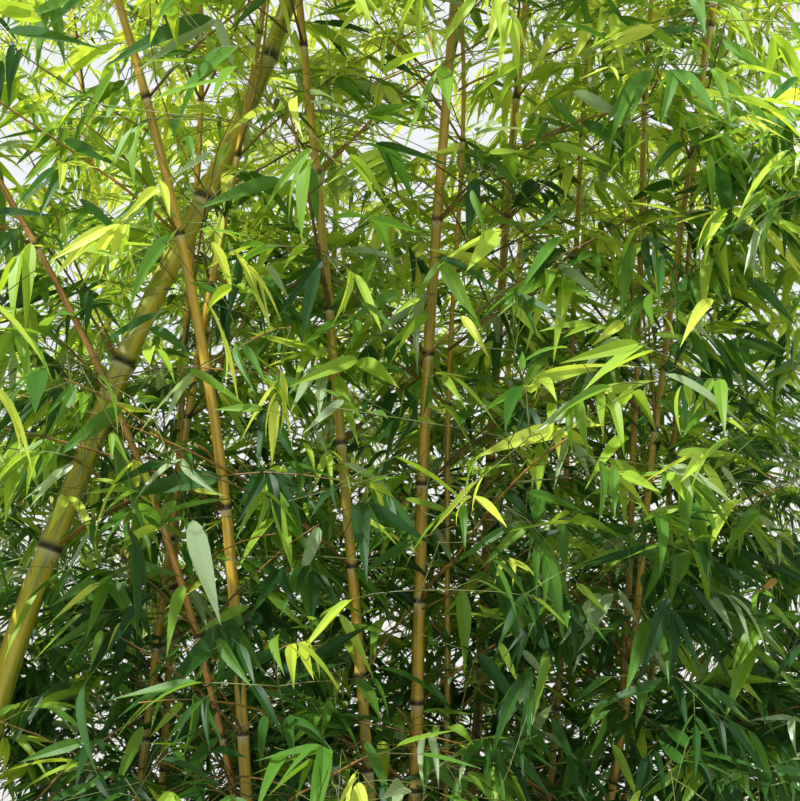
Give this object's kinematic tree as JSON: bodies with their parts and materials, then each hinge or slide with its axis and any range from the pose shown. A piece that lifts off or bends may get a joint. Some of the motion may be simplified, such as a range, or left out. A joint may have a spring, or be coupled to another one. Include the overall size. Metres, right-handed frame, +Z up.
{
  "type": "potted bamboo",
  "caption": "Tall clump of yellow-stemmed bamboo with airy green foliage, standing in one plain round clay pot; a patio screen plant",
  "frame": {"origin": "middle of the pot's flat underside, on the floor", "axes": "+Z up, the height and longest extent; the clump's open face, where its culms show, looks to -Y; +X to the right of that view"},
  "size_m": [1.7714, 1.6356, 3.1202],
  "materials": {
    "culm_skin": "smooth waxy cane skin, golden yellow",
    "bough_bark": "smooth orange-brown cane",
    "foliage": "thin green leaves on fine twigs",
    "pot_clay": "unglazed fired clay",
    "soil": "moist crumbly potting soil"
  },
  "bodies": {
    "root": {"bough_chest_3": "bough_bark", "bough_chest_5": "bough_bark", "bough_crown_2": "bough_bark", "bough_foot_2": "bough_bark", "bough_low_3": "bough_bark", "bough_shoulder_3": "bough_bark", "bough_waist_2": "bough_bark", "bough_waist_3": "bough_bark", "bough_waist_5": "bough_bark", "culm_arching": "culm_skin", "culm_back_left": "culm_skin", "culm_back_middle": "culm_skin", "culm_back_right": "culm_skin", "culm_big": "culm_skin", "culm_centre": "culm_skin", "culm_centre_slim": "culm_skin", "culm_front": "culm_skin", "culm_left_inner": "culm_skin", "culm_left_main": "culm_skin", "culm_left_outer": "culm_skin", "culm_middle_back": "culm_skin", "culm_right_front": "culm_skin", "culm_right_inner": "culm_skin", "culm_right_middle": "culm_skin", "culm_right_outer": "culm_skin", "foliage_chest_1": "foliage", "foliage_chest_2": "foliage", "foliage_chest_3": "foliage", "foliage_chest_4": "foliage", "foliage_chest_5": "foliage", "foliage_crown_1": "foliage", "foliage_crown_2": "foliage", "foliage_crown_3": "foliage", "foliage_crown_4": "foliage", "foliage_foot_1": "foliage", "foliage_foot_2": "foliage", "foliage_foot_3": "foliage", "foliage_foot_4": "foliage", "foliage_foot_5": "foliage", "foliage_low_1": "foliage", "foliage_low_2": "foliage", "foliage_low_3": "foliage", "foliage_low_4": "foliage", "foliage_low_5": "foliage", "foliage_shoulder_1": "foliage", "foliage_shoulder_2": "foliage", "foliage_shoulder_3": "foliage", "foliage_shoulder_4": "foliage", "foliage_shoulder_5": "foliage", "foliage_top_1": "foliage", "foliage_waist_1": "foliage", "foliage_waist_2": "foliage", "foliage_waist_3": "foliage", "foliage_waist_4": "foliage", "foliage_waist_5": "foliage", "pot": "pot_clay", "soil": "soil"}
  },
  "joints": []
}
